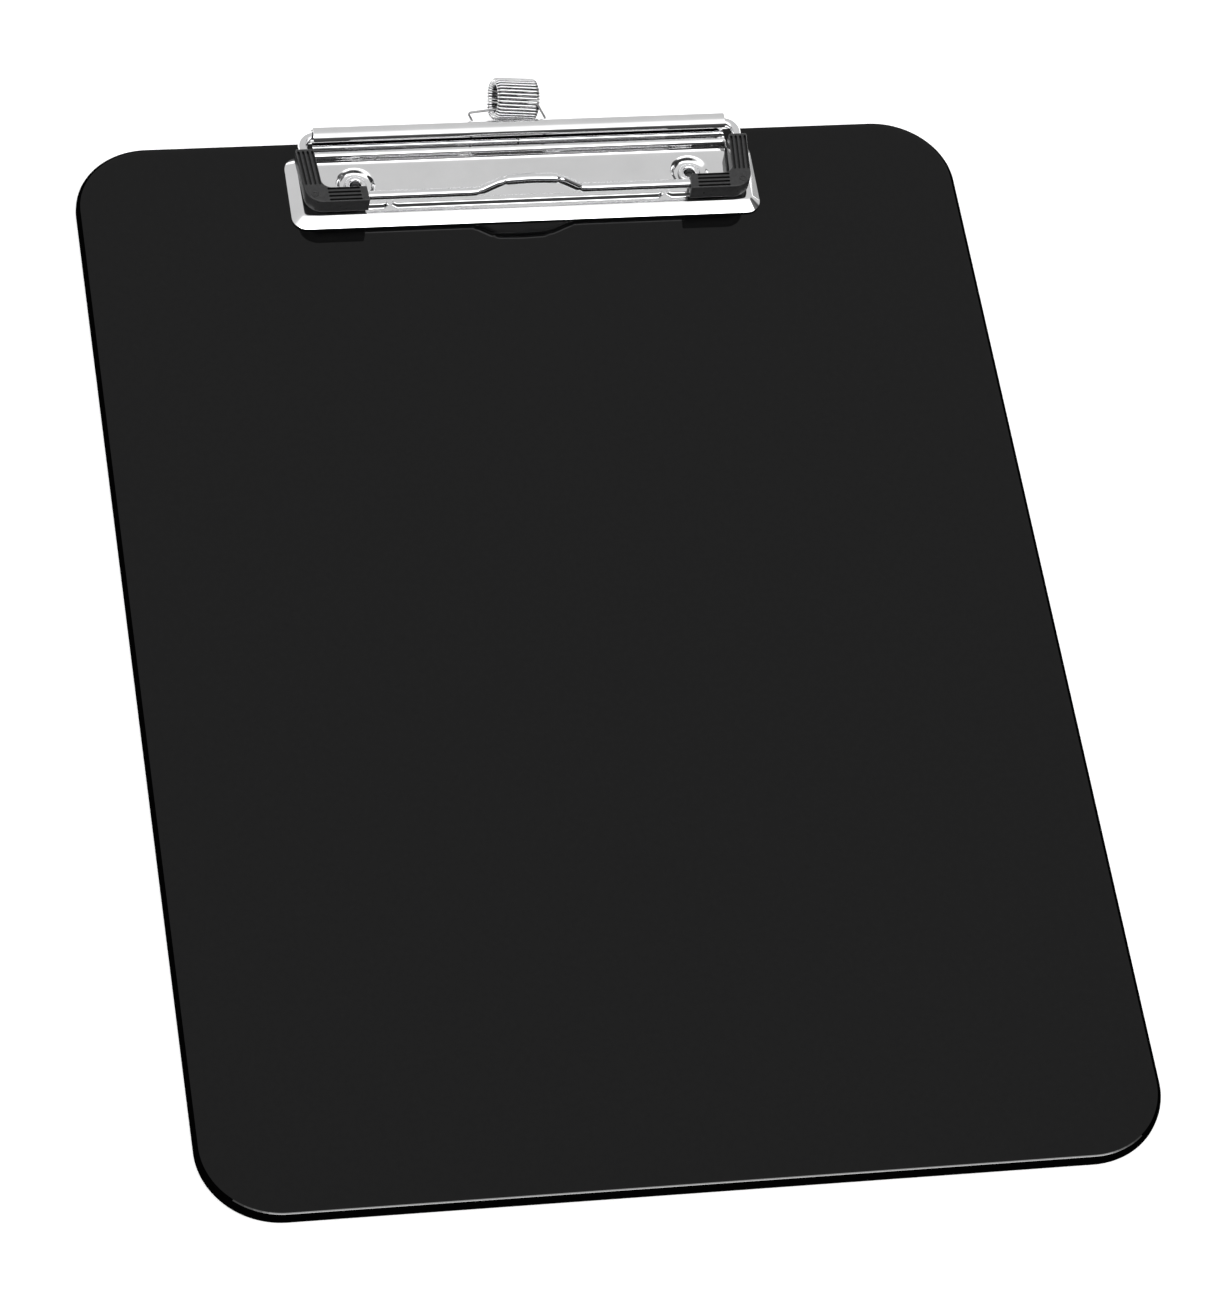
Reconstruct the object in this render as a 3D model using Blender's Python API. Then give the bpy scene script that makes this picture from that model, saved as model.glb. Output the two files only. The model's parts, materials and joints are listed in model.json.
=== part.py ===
"""A clipboard with a wire-bail clip and a pen holder, built as an assembly of separate pieces.

Units are metres, +Z is up. The origin is the centre of the board's underside, +Y points to the
edge that carries the clip, and +X is to the right of somebody who writes on the board.
"""
import math

import bmesh
import bpy
from mathutils import Matrix, Vector

MM = 0.001
GAP = 0.3 * MM  # clearance left between pieces that touch
CLIP_X = 0.7 * MM  # how far right of the board's centre line the clip is riveted

# Board
BOARD_WIDTH = 233.8 * MM
BOARD_LENGTH = 315.6 * MM
BOARD_THICKNESS = 4 * MM
BOARD_CORNER_RADIUS = 20 * MM
BOARD_EDGE_ROUNDING = 1.4 * MM

# Clip plate, pressed from sheet steel: a shallow tray whose rear edge is rolled over the bail
SHEET = 0.6 * MM
PLATE_WIDTH = 124.4 * MM
PLATE_FRONT = 128.6 * MM
PLATE_REAR = 152.2 * MM
PLATE_CORNER_RADIUS = 4 * MM
PLATE_FOOT = BOARD_THICKNESS + GAP
PLATE_FLOOR = 6.7 * MM
FLANGE_WIDTH = 2.7 * MM
RIB_Y = 133.4 * MM
RIB_WIDTH = 3.6 * MM
RIB_HEIGHT = 1.3 * MM
RIB_BREAK_X = 36.5 * MM
RIB_BREAK_LENGTH = 2 * MM
RIB_END_X = 56.5 * MM
ROLL_WIDTH = 109.6 * MM
ROLL_INNER_RADIUS = 2.05 * MM
ROLL_LIP_ANGLE = 160  # degrees round from the rear
STEP_FOOT_Y = 147.2 * MM
STEP_BEND = 1.3 * MM
STEP_SLOPE = 78  # degrees
LEDGE_FALL = 5  # degrees, down towards the roll
DISH_RADIUS = 5.2 * MM
DISH_FLAT_RADIUS = 3.9 * MM

# Bail, one length of spring wire
WIRE_RADIUS = 1.15 * MM
HINGE_Y = 153.8 * MM
HINGE_Z = 11 * MM
BAR_Y = 133.8 * MM
ARM_X = 56.6 * MM
ARM_SPLAY = 1.4 * MM  # how much further apart the arms are at the hinge than at the bar
LEG_BEND = 3.4 * MM
FRONT_BEND = 3.5 * MM
LEG_END_GAP = 1.2 * MM
ARCH_RISE = 4.8 * MM
ARCH_CROWN = 0.4 * MM  # how much higher the arch is at its middle than at its shoulders
ARCH_FOOT_X = 13.4 * MM
ARCH_TOP_X = 7.2 * MM
ARCH_BEND = 4.5 * MM
ARCH_CROWN_BEND = 30 * MM

# Corner pads, plastic sleeves on the two front corners of the bail
PAD_WIDTH = 4.8 * MM
PAD_TOP = 12.85 * MM
PAD_BOTTOM = PLATE_FLOOR + RIB_HEIGHT + GAP
PAD_REAR = 148.6 * MM
PAD_INNER_END_X = 42.7 * MM
PAD_FRONT = 131 * MM
PAD_CORNER_RADIUS = 4.5 * MM
PAD_INNER_RADIUS = 2.5 * MM
GROOVE_COUNT = 4
GROOVE_SPACING = 1.2 * MM
GROOVE_WIDTH = 0.45 * MM
GROOVE_DEPTH = 0.25 * MM
GROOVE_MARGIN = 1.5 * MM
GROOVE_CLEAR_OF_CORNER = 8 * MM

# Tubular rivets and their washers
RIVET_X = 44.5 * MM
RIVET_Y = 141.2 * MM
RIVET_BARREL_RADIUS = 2.15 * MM
RIVET_BORE_RADIUS = 1.5 * MM
RIVET_HEAD_RADIUS = 3.2 * MM
RIVET_HEAD_TOP = 6.5 * MM
RIVET_HOLE_RADIUS = RIVET_BARREL_RADIUS + GAP
RECESS_RADIUS = 5.3 * MM
RECESS_DEPTH = 1.6 * MM
WASHER_RADIUS = 5 * MM
WASHER_THICKNESS = 0.4 * MM
FLARE_BOTTOM = 0.1 * MM

# Pen holder, a close-wound spring bent into a ring, with a leg at each end
RING_X = -0.3 * MM
RING_Y = 163.2 * MM
RING_Z = 12 * MM
RING_OUTER_RADIUS = 5.6 * MM
RING_INNER_RADIUS = 3.7 * MM
RING_LENGTH = 12 * MM
RING_END_ROUNDING = 0.9 * MM
LEG_RADIUS = 0.35 * MM
LEG_ROOT_Y = 158.8 * MM
LEG_ROOT_Z = 13.6 * MM
LEG_ROOT_INSET = 0.5 * MM
LEG_KNEE_Y = 158.3 * MM
LEG_KNEE_Z = 13 * MM
LEFT_LEG_X = -12.2 * MM
RIGHT_LEG_X = 8.1 * MM
LEG_ELBOW_Y = 157.4 * MM
LEG_TIP_Y = 155.3 * MM
LEG_LOOP_BEND = 0.8 * MM
LEG_HOLE_RADIUS = 0.85 * MM
PEN_PIVOT_Y = HINGE_Y + ROLL_INNER_RADIUS + SHEET / 2


def clear_scene():
    for old in list(bpy.data.objects):
        bpy.data.objects.remove(old, do_unlink=True)


def make_material(name, colour, roughness, metallic):
    material = bpy.data.materials.new(name)
    material.use_nodes = True
    shader = material.node_tree.nodes["Principled BSDF"]
    shader.inputs["Base Color"].default_value = (*colour, 1)
    shader.inputs["Roughness"].default_value = roughness
    shader.inputs["Metallic"].default_value = metallic
    return material


def make_object(name, bm, material=None, origin=(0, 0, 0)):
    """Turn a bmesh in world coordinates into an object whose origin is at the given point."""
    bmesh.ops.recalc_face_normals(bm, faces=bm.faces)
    bmesh.ops.translate(bm, verts=bm.verts, vec=-Vector(origin))
    mesh = bpy.data.meshes.new(name)
    bm.to_mesh(mesh)
    bm.free()
    mesh.shade_smooth()
    mesh.set_sharp_from_angle(angle=math.radians(35))
    made = bpy.data.objects.new(name, mesh)
    made.location = origin
    if material:
        mesh.materials.append(material)
    bpy.context.scene.collection.objects.link(made)
    return made


def combine(target, tool, operation):
    """Join a tool into the target, or cut it out, and leave the tool hidden."""
    tool.hide_render = True
    tool.display_type = "WIRE"
    modifier = target.modifiers.new(tool.name, "BOOLEAN")
    modifier.object = tool
    modifier.operation = operation
    modifier.solver = "EXACT"


def loop_ring(bm, points):
    return [bm.verts.new(point) for point in points]


def bridge(bm, first, second):
    """Faces between two closed rings with the same number of points."""
    for i in range(len(first)):
        j = (i + 1) % len(first)
        bm.faces.new((first[i], first[j], second[j], second[i]))


def rounded_rectangle(half_x, low_y, high_y, radius, steps=8):
    """A counter-clockwise outline with a round stretch at each corner."""
    corners = (
        (half_x - radius, low_y + radius, -90),
        (half_x - radius, high_y - radius, 0),
        (-half_x + radius, high_y - radius, 90),
        (-half_x + radius, low_y + radius, 180),
    )
    outline = []
    for x, y, start in corners:
        for step in range(steps + 1):
            angle = math.radians(start + 90 * step / steps)
            outline.append((x + radius * math.cos(angle), y + radius * math.sin(angle)))
    return outline


def prism(outline, place, depth):
    """Extrude a flat outline. place(u, v, w) gives the point at outline (u, v) and depth w."""
    bm = bmesh.new()
    ends = [loop_ring(bm, [place(u, v, w) for u, v in outline]) for w in depth]
    bm.faces.new(ends[0])
    bm.faces.new(ends[1])
    bridge(bm, *ends)
    return bm


def box(low, high):
    size = Vector(high) - Vector(low)
    centre = (Vector(high) + Vector(low)) / 2
    bm = bmesh.new()
    bmesh.ops.create_cube(bm, size=1, matrix=Matrix.Translation(centre) @ Matrix.Diagonal((*size, 1)))
    return bm


def turned(profile, centre, segments=32, axis="Z"):
    """Turn a closed profile of (radius, height) points about an axis through the centre."""
    bm = bmesh.new()
    rings = []
    for step in range(segments):
        angle = math.tau * step / segments
        ring = []
        for radius, height in profile:
            across = radius * math.cos(angle)
            along = radius * math.sin(angle)
            local = (across, along, height) if axis == "Z" else (height, across, along)
            ring.append(bm.verts.new(Vector(centre) + Vector(local)))
        rings.append(ring)
    for step in range(segments):
        bridge(bm, rings[step], rings[(step + 1) % segments])
    return bm


def rod(radius, start, end, segments=24):
    """A plain cylinder between two points."""
    start = Vector(start)
    end = Vector(end)
    turn = (end - start).to_track_quat("Z", "Y").to_matrix().to_4x4()
    bm = bmesh.new()
    bmesh.ops.create_cone(
        bm,
        cap_ends=True,
        segments=segments,
        radius1=radius,
        radius2=radius,
        depth=(end - start).length,
        matrix=Matrix.Translation((start + end) / 2) @ turn,
    )
    return bm


def bent_path(corners, steps=6):
    """Points along straight runs joined by arcs. Each corner is (point, bend radius)."""
    points = [Vector(corners[0][0])]
    for i in range(1, len(corners) - 1):
        corner = Vector(corners[i][0])
        back = (Vector(corners[i - 1][0]) - corner).normalized()
        ahead = (Vector(corners[i + 1][0]) - corner).normalized()
        half_angle = back.angle(ahead) / 2
        radius = corners[i][1]
        centre = corner + (back + ahead).normalized() * radius / math.sin(half_angle)
        first = (corner + back * radius / math.tan(half_angle) - centre).normalized()
        last = (corner + ahead * radius / math.tan(half_angle) - centre).normalized()
        for step in range(steps + 1):
            points.append(centre + first.slerp(last, step / steps) * radius)
    points.append(Vector(corners[-1][0]))
    return points


def sweep(points, radius, sides=12):
    """A round wire along a path, with flat ends."""
    bm = bmesh.new()
    rings = []
    across = None
    for i, point in enumerate(points):
        ahead = points[min(i + 1, len(points) - 1)] - point
        behind = point - points[max(i - 1, 0)]
        tangent = (ahead.normalized() + behind.normalized()).normalized()
        if across is None:
            across = tangent.orthogonal().normalized()
        across = (across - tangent * across.dot(tangent)).normalized()
        up = tangent.cross(across)
        ring = []
        for side in range(sides):
            angle = math.tau * side / sides
            ring.append(point + (across * math.cos(angle) + up * math.sin(angle)) * radius)
        rings.append(loop_ring(bm, ring))
    for first, second in zip(rings, rings[1:]):
        bridge(bm, first, second)
    bm.faces.new(rings[0])
    bm.faces.new(rings[-1])
    return bm


def make_board(material):
    half = BOARD_WIDTH / 2
    reach = BOARD_LENGTH / 2
    outline = rounded_rectangle(half, -reach, reach, BOARD_CORNER_RADIUS, steps=14)
    bm = prism(outline, lambda x, y, z: (x, y, z), (0, BOARD_THICKNESS))
    board = make_object("board", bm, material)
    bevel = board.modifiers.new("polished_edge", "BEVEL")
    bevel.width = BOARD_EDGE_ROUNDING
    bevel.segments = 4
    bevel.limit_method = "ANGLE"
    bevel.angle_limit = math.radians(60)
    for side in (-1, 1):
        x = side * RIVET_X
        hole = rod(RIVET_HOLE_RADIUS, (x, RIVET_Y, -MM), (x, RIVET_Y, BOARD_THICKNESS + MM))
        combine(board, make_object("rivet_hole_cutter", hole), "DIFFERENCE")
        recess = rod(RECESS_RADIUS, (x, RIVET_Y, -MM), (x, RIVET_Y, RECESS_DEPTH), 32)
        combine(board, make_object("washer_recess_cutter", recess), "DIFFERENCE")
    return board


def tray_ring(inset, height):
    outline = rounded_rectangle(
        PLATE_WIDTH / 2 - inset,
        PLATE_FRONT + inset,
        PLATE_REAR - inset,
        max(PLATE_CORNER_RADIUS - inset, MM),
    )
    return [(x, y, height) for x, y in outline]


def make_tray():
    """The pressed tray, open below: an outer skin, an inner skin and the rim between them."""
    edge = 0.4 * MM
    outer = (
        (0, PLATE_FOOT),
        (0, PLATE_FOOT + GAP),
        (FLANGE_WIDTH - edge, PLATE_FLOOR - edge),
        (FLANGE_WIDTH, PLATE_FLOOR - edge / 4),
        (FLANGE_WIDTH + edge, PLATE_FLOOR),
    )
    inner = (
        (SHEET, PLATE_FOOT),
        (FLANGE_WIDTH, PLATE_FLOOR - SHEET - edge),
        (FLANGE_WIDTH + 2 * edge, PLATE_FLOOR - SHEET),
    )
    bm = bmesh.new()
    outer_rings = [loop_ring(bm, tray_ring(*place)) for place in outer]
    inner_rings = [loop_ring(bm, tray_ring(*place)) for place in inner]
    for rings in (outer_rings, inner_rings):
        for first, second in zip(rings, rings[1:]):
            bridge(bm, first, second)
        bm.faces.new(rings[-1])
    bridge(bm, outer_rings[0], inner_rings[0])
    return bm


def follow_bend(path, radius, turn, steps):
    """Carry a path of (y, z, heading) on through a bend. A positive turn is to the left."""
    y, z, start = path[-1]
    side = math.copysign(1, turn)
    centre_y = y - side * radius * math.sin(math.radians(start))
    centre_z = z + side * radius * math.cos(math.radians(start))
    for step in range(1, steps + 1):
        heading = start + turn * step / steps
        y = centre_y + side * radius * math.sin(math.radians(heading))
        z = centre_z - side * radius * math.cos(math.radians(heading))
        path.append((y, z, heading))


def follow_line(path, length):
    y, z, heading = path[-1]
    ahead = math.radians(heading)
    path.append((y + length * math.cos(ahead), z + length * math.sin(ahead), heading))


def roll_path():
    """The sheet's upper face from the floor over the step, down the ledge and round the roll."""
    fall = math.radians(LEDGE_FALL)
    path = [(STEP_FOOT_Y, PLATE_FLOOR, 0)]
    follow_bend(path, STEP_BEND, STEP_SLOPE, 5)
    trial = list(path)
    follow_bend(trial, STEP_BEND, -STEP_SLOPE - LEDGE_FALL, 1)
    roll_start_y = HINGE_Y - ROLL_INNER_RADIUS * math.sin(fall)
    roll_start_z = HINGE_Z - ROLL_INNER_RADIUS * math.cos(fall)
    still_to_rise = (roll_start_y - trial[-1][0]) * math.sin(fall) + (roll_start_z - trial[-1][1]) * math.cos(fall)
    follow_line(path, still_to_rise / math.sin(math.radians(STEP_SLOPE + LEDGE_FALL)))
    follow_bend(path, STEP_BEND, -STEP_SLOPE - LEDGE_FALL, 6)
    follow_line(path, math.hypot(roll_start_y - path[-1][0], roll_start_z - path[-1][1]))
    follow_bend(path, ROLL_INNER_RADIUS, ROLL_LIP_ANGLE + 90 + LEDGE_FALL, 22)
    return path


def roll_outline():
    """Section of the step, the ledge and the roll, as (y, z) points round the sheet."""
    tuck = 0.1 * MM  # how far the section starts inside the tray's own sheet
    lead = 0.8 * MM
    lowest = PLATE_FLOOR - SHEET + tuck
    path = roll_path()
    top = [(STEP_FOOT_Y - lead, PLATE_FLOOR - tuck)] + [(y, z) for y, z, _ in path]
    bottom = []
    for y, z, heading in reversed(path):
        facing = math.radians(heading)
        bottom.append((y + SHEET * math.sin(facing), max(z - SHEET * math.cos(facing), lowest)))
    return top + bottom + [(STEP_FOOT_Y - lead, lowest)]


def rib_bar(low_x, high_x):
    """A half-round rib with tapered ends, lying in the tray's floor."""
    taper = 1.6 * MM
    stations = ((low_x, 0.3), (low_x + taper / 3, 0.75), (low_x + taper, 1))
    stations += tuple((high_x + low_x - x, scale) for x, scale in reversed(stations))
    centre = PLATE_FLOOR - SHEET / 2
    half_width = RIB_WIDTH / 2
    half_height = RIB_HEIGHT + SHEET / 2
    sides = 16
    bm = bmesh.new()
    rings = []
    for x, scale in stations:
        ring = []
        for side in range(sides):
            angle = math.tau * side / sides
            height = half_height * scale if math.sin(angle) > 0 else SHEET / 4
            ring.append((x, RIB_Y + half_width * scale * math.cos(angle), centre + height * math.sin(angle)))
        rings.append(loop_ring(bm, ring))
    for first, second in zip(rings, rings[1:]):
        bridge(bm, first, second)
    bm.faces.new(rings[0])
    bm.faces.new(rings[-1])
    return bm


def rivet_dish(x):
    """The pressed dish that brings the sheet down to the board round one rivet."""
    bottom = PLATE_FOOT
    profile = (
        (DISH_RADIUS + 0.4 * MM, PLATE_FLOOR - 0.15 * MM),
        (DISH_RADIUS, PLATE_FLOOR - 0.2 * MM),
        (DISH_FLAT_RADIUS, bottom + SHEET),
        (RIVET_HOLE_RADIUS, bottom + SHEET),
        (RIVET_HOLE_RADIUS, bottom),
        (DISH_FLAT_RADIUS + SHEET / 2, bottom),
        (DISH_RADIUS + 0.4 * MM, PLATE_FLOOR - SHEET + 0.15 * MM),
    )
    return turned(profile, (x, RIVET_Y, 0))


def make_clip_plate(material):
    plate = make_object("clip_plate", make_tray(), material)
    half_roll = ROLL_WIDTH / 2
    inset = 0.7 * MM
    low = (-half_roll + inset, STEP_FOOT_Y + 0.9 * MM, 0)
    high = (half_roll - inset, PLATE_REAR + MM, 2 * PLATE_FLOOR)
    combine(plate, make_object("under_ledge_cutter", box(low, high)), "DIFFERENCE")
    for side in (-1, 1):
        x = side * RIVET_X
        hole = rod(DISH_RADIUS, (x, RIVET_Y, 0), (x, RIVET_Y, 2 * PLATE_FLOOR), 32)
        combine(plate, make_object("dish_cutter", hole), "DIFFERENCE")
    roll = prism(roll_outline(), lambda y, z, x: (x, y, z), (-half_roll, half_roll))
    combine(plate, make_object("roll_tool", roll), "UNION")
    for side in (-1, 1):
        dish = rivet_dish(side * RIVET_X)
        combine(plate, make_object("dish_tool", dish), "UNION")
    half_break = RIB_BREAK_LENGTH / 2
    spans = (
        (-RIB_END_X, -RIB_BREAK_X - half_break),
        (-RIB_BREAK_X + half_break, RIB_BREAK_X - half_break),
        (RIB_BREAK_X + half_break, RIB_END_X),
    )
    for span in spans:
        combine(plate, make_object("rib_tool", rib_bar(*span)), "UNION")
    for x in (LEFT_LEG_X, RIGHT_LEG_X):
        hole = rod(LEG_HOLE_RADIUS, (x, HINGE_Y + WIRE_RADIUS, HINGE_Z), (x, RING_Y, HINGE_Z), 16)
        combine(plate, make_object("pen_leg_cutter", hole), "DIFFERENCE")
    return plate


def bail_corners():
    """Corners of the whole bail, from the end of the left leg to the end of the right one."""
    crown = ((0, BAR_Y, HINGE_Z + ARCH_RISE + ARCH_CROWN), ARCH_CROWN_BEND)
    half = (
        ((ARCH_TOP_X, BAR_Y, HINGE_Z + ARCH_RISE), ARCH_BEND),
        ((ARCH_FOOT_X, BAR_Y, HINGE_Z), ARCH_BEND),
        ((ARM_X, BAR_Y, HINGE_Z), FRONT_BEND),
        ((ARM_X + ARM_SPLAY, HINGE_Y, HINGE_Z), LEG_BEND),
        ((LEG_END_GAP / 2, HINGE_Y, HINGE_Z), 0),
    )
    mirrored = [((-point[0], point[1], point[2]), radius) for point, radius in reversed(half)]
    return mirrored + [crown] + list(half)


def make_bail(material):
    bm = sweep(bent_path(bail_corners()), WIRE_RADIUS)
    return make_object("bail_wire", bm, material, (0, HINGE_Y, HINGE_Z))


def splayed(side, x, y):
    """Put a point worked out for a square-cornered right arm on the splayed arm of one side."""
    return side * (x + ARM_SPLAY * (y - BAR_Y) / (HINGE_Y - BAR_Y)), y


def pad_outline(side):
    """Plan of one L-shaped pad."""
    outer = ARM_X + PAD_WIDTH / 2
    inner = ARM_X - PAD_WIDTH / 2
    rear_of_front_arm = PAD_FRONT + PAD_WIDTH
    outline = [(outer, PAD_REAR), (inner, PAD_REAR)]
    steps = 6
    for step in range(steps + 1):
        angle = math.pi / 2 * step / steps
        x = inner - PAD_INNER_RADIUS + PAD_INNER_RADIUS * math.cos(angle)
        y = rear_of_front_arm + PAD_INNER_RADIUS - PAD_INNER_RADIUS * math.sin(angle)
        outline.append((x, y))
    outline += [(PAD_INNER_END_X, rear_of_front_arm), (PAD_INNER_END_X, PAD_FRONT)]
    for step in range(steps + 1):
        angle = math.pi / 2 * step / steps
        x = outer - PAD_CORNER_RADIUS + PAD_CORNER_RADIUS * math.sin(angle)
        y = PAD_FRONT + PAD_CORNER_RADIUS - PAD_CORNER_RADIUS * math.cos(angle)
        outline.append((x, y))
    return [splayed(side, x, y) for x, y in outline]


def groove_boxes(side):
    """Lengthwise grooves in the tops of both arms of one pad."""
    bm = bmesh.new()
    bottom = PAD_TOP - GROOVE_DEPTH
    top = PAD_TOP + MM
    corner_x = ARM_X + PAD_WIDTH / 2 - GROOVE_CLEAR_OF_CORNER
    corner_y = PAD_FRONT + GROOVE_CLEAR_OF_CORNER
    front_centre = PAD_FRONT + PAD_WIDTH / 2
    for index in range(GROOVE_COUNT):
        shift = (index - (GROOVE_COUNT - 1) / 2) * GROOVE_SPACING
        spans = (
            (ARM_X + shift, ARM_X + shift, corner_y, PAD_REAR - GROOVE_MARGIN),
            (PAD_INNER_END_X + GROOVE_MARGIN, corner_x, front_centre + shift, front_centre + shift),
        )
        for low_x, high_x, low_y, high_y in spans:
            half_x = GROOVE_WIDTH / 2 if low_x == high_x else 0
            half_y = GROOVE_WIDTH / 2 if low_y == high_y else 0
            cut = box((low_x - half_x, low_y - half_y, bottom), (high_x + half_x, high_y + half_y, top))
            for corner in cut.verts:
                corner.co.xy = splayed(side, corner.co.x, corner.co.y)
            mesh = bpy.data.meshes.new("groove")
            cut.to_mesh(mesh)
            cut.free()
            bm.from_mesh(mesh)
            bpy.data.meshes.remove(mesh)
    return bm


def make_corner_pad(name, side, material):
    bm = prism(pad_outline(side), lambda x, y, z: (x, y, z), (PAD_BOTTOM, PAD_TOP))
    pad = make_object(name, bm, material, (0, HINGE_Y, HINGE_Z))
    bore_path = bent_path(
        (
            ((side * (PAD_INNER_END_X - MM), BAR_Y, HINGE_Z), 0),
            ((side * ARM_X, BAR_Y, HINGE_Z), FRONT_BEND),
            ((*splayed(side, ARM_X, PAD_REAR + MM), HINGE_Z), 0),
        )
    )
    bore = sweep(bore_path, WIRE_RADIUS + GAP)
    combine(pad, make_object("wire_bore_cutter", bore), "DIFFERENCE")
    combine(pad, make_object("groove_cutter", groove_boxes(side)), "DIFFERENCE")
    return pad


def make_rivet(name, x, material):
    head_bottom = PLATE_FOOT + SHEET + GAP
    flare_top = FLARE_BOTTOM + 0.55 * MM
    head_step = 0.4 * MM
    profile = (
        (RIVET_BORE_RADIUS, RIVET_HEAD_TOP - head_step),
        (RIVET_BORE_RADIUS + head_step, RIVET_HEAD_TOP),
        (RIVET_HEAD_RADIUS - 2 * head_step, RIVET_HEAD_TOP - head_step / 4),
        (RIVET_HEAD_RADIUS - head_step / 2, RIVET_HEAD_TOP - head_step),
        (RIVET_HEAD_RADIUS, head_bottom + head_step),
        (RIVET_HEAD_RADIUS - head_step / 2, head_bottom),
        (RIVET_BARREL_RADIUS, head_bottom),
        (RIVET_BARREL_RADIUS, flare_top),
        (RIVET_HEAD_RADIUS - head_step, flare_top),
        (RIVET_HEAD_RADIUS, (flare_top + FLARE_BOTTOM) / 2),
        (RIVET_HEAD_RADIUS - head_step, FLARE_BOTTOM),
        (RIVET_BARREL_RADIUS, FLARE_BOTTOM),
        (RIVET_BORE_RADIUS, FLARE_BOTTOM + head_step),
    )
    return make_object(name, turned(profile, (x, RIVET_Y, 0)), material)


def make_washer(name, x, material):
    top = RECESS_DEPTH - GAP
    bottom = top - WASHER_THICKNESS
    profile = (
        (RIVET_HOLE_RADIUS, bottom),
        (WASHER_RADIUS, bottom),
        (WASHER_RADIUS, top),
        (RIVET_HOLE_RADIUS, top),
    )
    return make_object(name, turned(profile, (x, RIVET_Y, 0)), material)


def pen_ring():
    half = RING_LENGTH / 2
    rounding = RING_END_ROUNDING
    middle = (RING_OUTER_RADIUS + RING_INNER_RADIUS) / 2
    profile = (
        (RING_OUTER_RADIUS, -half + rounding),
        (RING_OUTER_RADIUS, half - rounding),
        (middle + rounding * 0.7, half - rounding * 0.3),
        (middle, half),
        (middle - rounding * 0.7, half - rounding * 0.3),
        (RING_INNER_RADIUS, half - rounding),
        (RING_INNER_RADIUS, -half + rounding),
        (middle - rounding * 0.7, -half + rounding * 0.3),
        (middle, -half),
        (middle + rounding * 0.7, -half + rounding * 0.3),
    )
    return turned(profile, (RING_X, RING_Y, RING_Z), axis="X")


def pen_leg(side, foot_x):
    """One leg: out of the coil's end, down behind the roll and forward into its hole.

    The left leg reaches further out, so it has one more bend, a knee.
    """
    root_x = RING_X + side * (RING_LENGTH / 2 - LEG_ROOT_INSET)
    corners = [
        ((root_x, LEG_ROOT_Y, LEG_ROOT_Z), 0),
        ((foot_x, LEG_ELBOW_Y, HINGE_Z), LEG_LOOP_BEND),
        ((foot_x, LEG_TIP_Y, HINGE_Z), 0),
    ]
    if side < 0:
        corners.insert(1, ((foot_x, LEG_KNEE_Y, LEG_KNEE_Z), LEG_LOOP_BEND))
    return sweep(bent_path(corners, steps=4), LEG_RADIUS, sides=8)


def make_pen_holder(material):
    pivot = (0, PEN_PIVOT_Y, HINGE_Z)
    holder = make_object("pen_holder_spring", pen_ring(), material, pivot)
    for side, foot_x in ((-1, LEFT_LEG_X), (1, RIGHT_LEG_X)):
        combine(holder, make_object("pen_leg_tool", pen_leg(side, foot_x)), "UNION")
    return holder


def shift_clip(board):
    """Move everything but the board itself onto the clip's centre line."""
    for made in bpy.context.scene.objects:
        if made is not board:
            made.location.x += CLIP_X


def main():
    clear_scene()
    black_gloss = make_material("board_plastic", (0.012, 0.012, 0.013), 0.08, 0)
    nickel = make_material("nickel_plate", (0.82, 0.82, 0.83), 0.12, 1)
    wire = make_material("bail_steel", (0.8, 0.8, 0.81), 0.1, 1)
    rivet_metal = make_material("rivet_steel", (0.78, 0.78, 0.79), 0.16, 1)
    spring = make_material("spring_wire", (0.68, 0.68, 0.7), 0.2, 1)
    soft_black = make_material("pad_plastic", (0.02, 0.02, 0.021), 0.45, 0)
    board = make_board(black_gloss)
    make_clip_plate(nickel)
    make_bail(wire)
    make_pen_holder(spring)
    for word, side in (("left", -1), ("right", 1)):
        make_corner_pad(f"corner_pad_{word}", side, soft_black)
        make_rivet(f"rivet_{word}", side * RIVET_X, rivet_metal)
        make_washer(f"rivet_washer_{word}", side * RIVET_X, rivet_metal)
    shift_clip(board)


main()
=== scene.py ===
import json
import math

import bmesh
import bpy
from mathutils import Matrix, Vector


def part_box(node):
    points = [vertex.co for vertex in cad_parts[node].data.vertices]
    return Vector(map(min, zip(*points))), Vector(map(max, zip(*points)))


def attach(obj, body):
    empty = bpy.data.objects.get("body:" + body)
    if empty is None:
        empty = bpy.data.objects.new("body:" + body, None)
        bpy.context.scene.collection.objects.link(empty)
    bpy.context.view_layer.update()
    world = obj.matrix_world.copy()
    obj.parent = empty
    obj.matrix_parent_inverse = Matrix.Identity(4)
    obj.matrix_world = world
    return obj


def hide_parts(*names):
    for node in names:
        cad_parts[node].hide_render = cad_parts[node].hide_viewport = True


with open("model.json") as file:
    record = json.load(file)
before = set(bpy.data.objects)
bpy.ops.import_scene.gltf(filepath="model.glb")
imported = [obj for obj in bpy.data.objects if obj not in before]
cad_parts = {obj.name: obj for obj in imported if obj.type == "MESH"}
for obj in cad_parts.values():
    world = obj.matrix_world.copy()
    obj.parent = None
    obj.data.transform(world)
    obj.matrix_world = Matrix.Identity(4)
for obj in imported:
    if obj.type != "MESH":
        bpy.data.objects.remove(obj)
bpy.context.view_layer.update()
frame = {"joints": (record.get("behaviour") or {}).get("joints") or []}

MM = 0.001

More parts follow.
